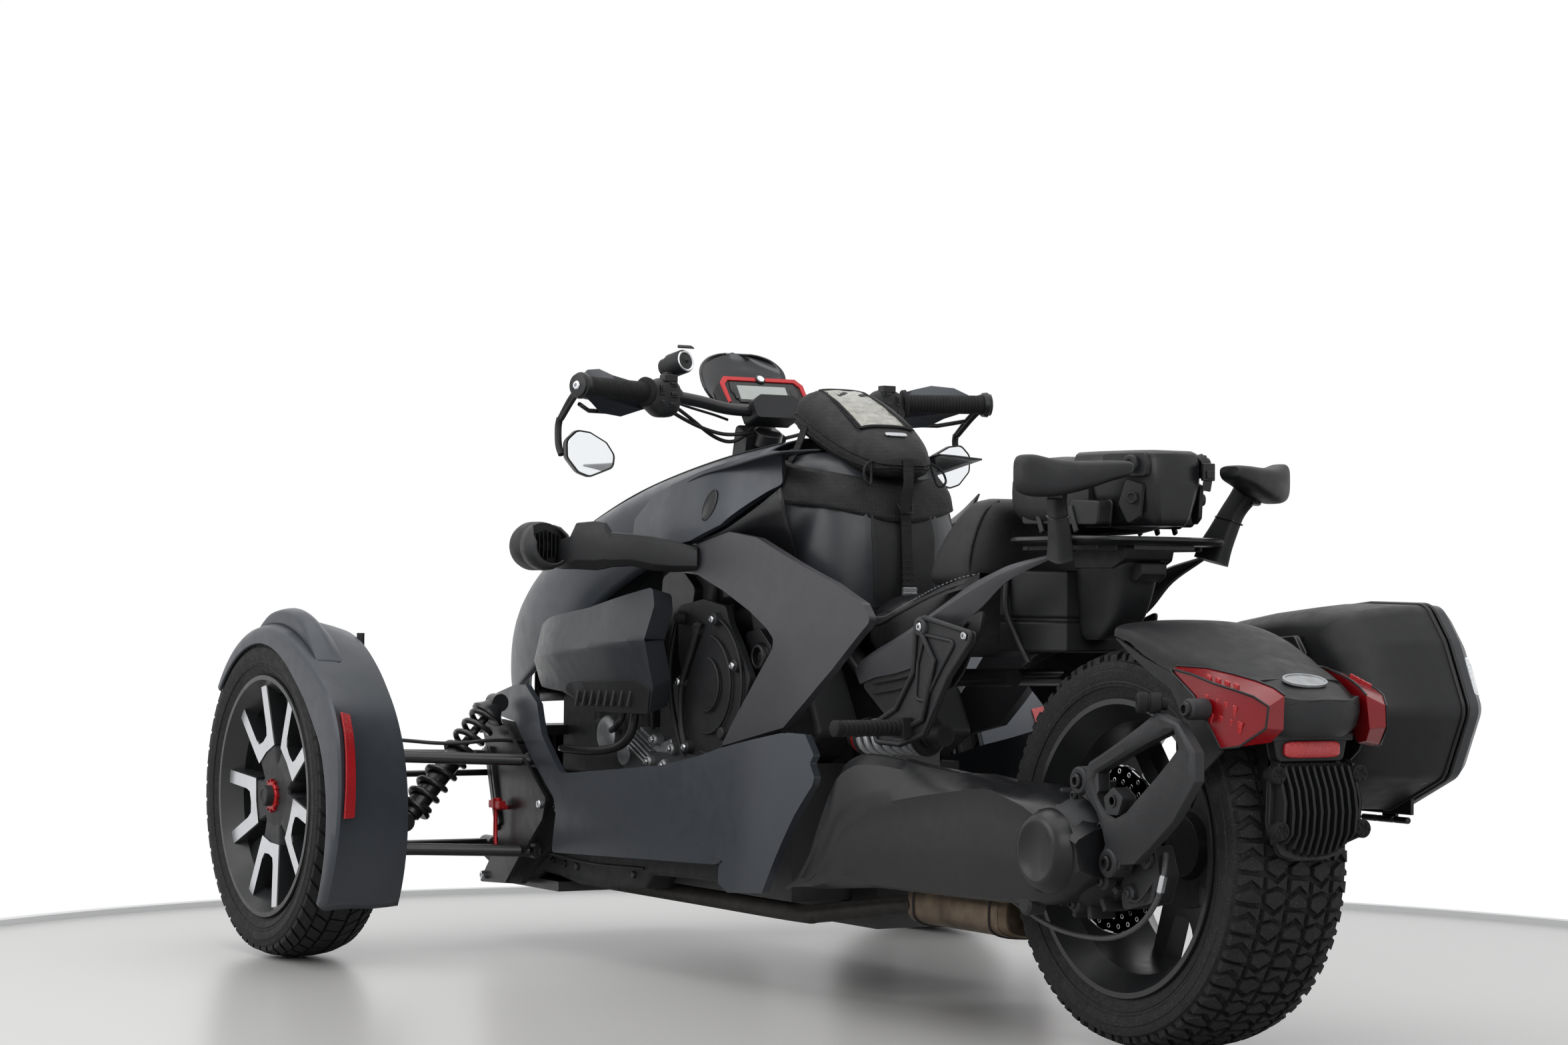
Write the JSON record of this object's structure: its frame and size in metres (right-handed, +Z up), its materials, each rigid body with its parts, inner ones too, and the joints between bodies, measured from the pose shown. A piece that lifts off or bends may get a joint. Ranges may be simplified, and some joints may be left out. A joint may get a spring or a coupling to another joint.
{
  "type": "reverse trike",
  "caption": "Three-wheeled road vehicle with two steered front wheels, a driven rear wheel on a side arm, low step-over seats, a tank bag and a side case with a lid.",
  "frame": {"origin": "on the floor, at the middle of the length and the width", "axes": "+X to the rider's left, +Y rearwards (the front faces -Y), +Z up"},
  "size_m": [1.509, 2.3514, 1.1019],
  "materials": {
    "frame_black": "satin powder coat",
    "castings": "as cast, satin",
    "castings_black": "satin black on castings",
    "trim_black": "fine grain",
    "spring_black": "gloss",
    "spring_grey": "satin",
    "body_blue_grey": "satin metallic",
    "console_grey": "satin",
    "lens_clear": "clear",
    "lens_red": "faceted, gloss",
    "bag_fabric": "coarse weave",
    "seat_vinyl": "fine grain, satin",
    "muffler_steel": "heat-tinted",
    "case_shell": "satin",
    "grip_rubber": "ribbed",
    "wheel_black": "gloss",
    "tyre": "matte"
  },
  "bodies": {
    "root": {"main_frame": "frame_black", "backbone": "frame_black", "engine_block": "castings", "engine_covers": "trim_black", "radiator": "trim_black", "skid_plate": "trim_black", "suspension_plates": "trim_black", "suspension_arms": "frame_black", "front_shocks": "spring_black", "nose_hood": "body_blue_grey", "cowl_sides": "body_blue_grey", "arch_panels": "body_blue_grey", "sills": "body_blue_grey", "side_pods": "trim_black", "headlamp_pods": "trim_black", "headlamp_lenses": "lens_clear", "console_cover": "console_grey", "tank_bag": "bag_fabric", "rider_seat": "seat_vinyl", "passenger_seat": "seat_vinyl", "seat_rack": "trim_black", "seat_side_panels": "trim_black", "fuel_tank": "trim_black", "peg_brackets": "castings_black", "drive_housing": "castings_black", "muffler": "muffler_steel", "rear_shock": "spring_grey", "rear_fender": "trim_black", "tail_cover": "trim_black", "fender_bracket": "castings_black", "tail_lights": "lens_red", "plate_holder": "trim_black", "case_body": "trim_black"},
    "steering": {"handlebar": "frame_black", "grips": "grip_rubber", "switchgear": "trim_black", "gauge_pod": "trim_black", "wind_deflector": "trim_black", "mirrors": "trim_black"},
    "front_left_upright": {"knuckle_left": "castings_black", "front_fender_left": "body_blue_grey"},
    "front_right_upright": {"knuckle_right": "castings_black", "front_fender_right": "body_blue_grey"},
    "front_left_wheel": {"wheel_front_left": "wheel_black", "tyre_front_left": "tyre"},
    "front_right_wheel": {"wheel_front_right": "wheel_black", "tyre_front_right": "tyre"},
    "rear_wheel": {"wheel_rear": "wheel_black", "tyre_rear": "tyre"},
    "left_tie_rod": {"tie_rod_left": "frame_black"},
    "right_tie_rod": {"tie_rod_right": "frame_black"},
    "side_case_lid": {"case_lid": "case_shell"}
  },
  "joints": [
    {"name": "steering", "type": "hinge", "parent": "root", "child": "steering", "pos_m": [0, -0.3615, 0.96], "axis": [0, 0.4067, 0.9135], "range_deg": [-35, 35]},
    {"name": "front_left_steer", "type": "hinge", "parent": "root", "child": "front_left_upright", "pos_m": [0.605, -0.886, 0.29], "axis": [0, 0, 1], "range_deg": [-30, 30]},
    {"name": "front_right_steer", "type": "hinge", "parent": "root", "child": "front_right_upright", "pos_m": [-0.605, -0.886, 0.29], "axis": [0, 0, 1], "range_deg": [-30, 30]},
    {"name": "front_left_spin", "type": "hinge", "parent": "front_left_upright", "child": "front_left_wheel", "pos_m": [0.679, -0.886, 0.29], "axis": [1, 0, 0], "continuous": true},
    {"name": "front_right_spin", "type": "hinge", "parent": "front_right_upright", "child": "front_right_wheel", "pos_m": [-0.679, -0.886, 0.29], "axis": [1, 0, 0], "continuous": true},
    {"name": "rear_spin", "type": "hinge", "parent": "root", "child": "rear_wheel", "pos_m": [0, 0.823, 0.2955], "axis": [1, 0, 0], "continuous": true},
    {"name": "left_tie_rod_end", "type": "hinge", "parent": "front_left_upright", "child": "left_tie_rod", "pos_m": [0.585, -0.972, 0.32], "axis": [0, 0, 1], "range_deg": [-30, 30]},
    {"name": "right_tie_rod_end", "type": "hinge", "parent": "front_right_upright", "child": "right_tie_rod", "pos_m": [-0.585, -0.972, 0.32], "axis": [0, 0, 1], "range_deg": [-30, 30]},
    {"name": "case_lid_hinge", "type": "hinge", "parent": "root", "child": "side_case_lid", "pos_m": [-0.345, 0.8955, 0.332], "axis": [0, -1, 0], "range_deg": [0, 60]}
  ],
  "couplings": [
    {"joint": "front_left_steer", "follows": "steering", "ratio": 0.85714},
    {"joint": "front_right_steer", "follows": "steering", "ratio": 0.85714},
    {"joint": "left_tie_rod_end", "follows": "steering", "ratio": -0.85714},
    {"joint": "right_tie_rod_end", "follows": "steering", "ratio": -0.85714}
  ]
}
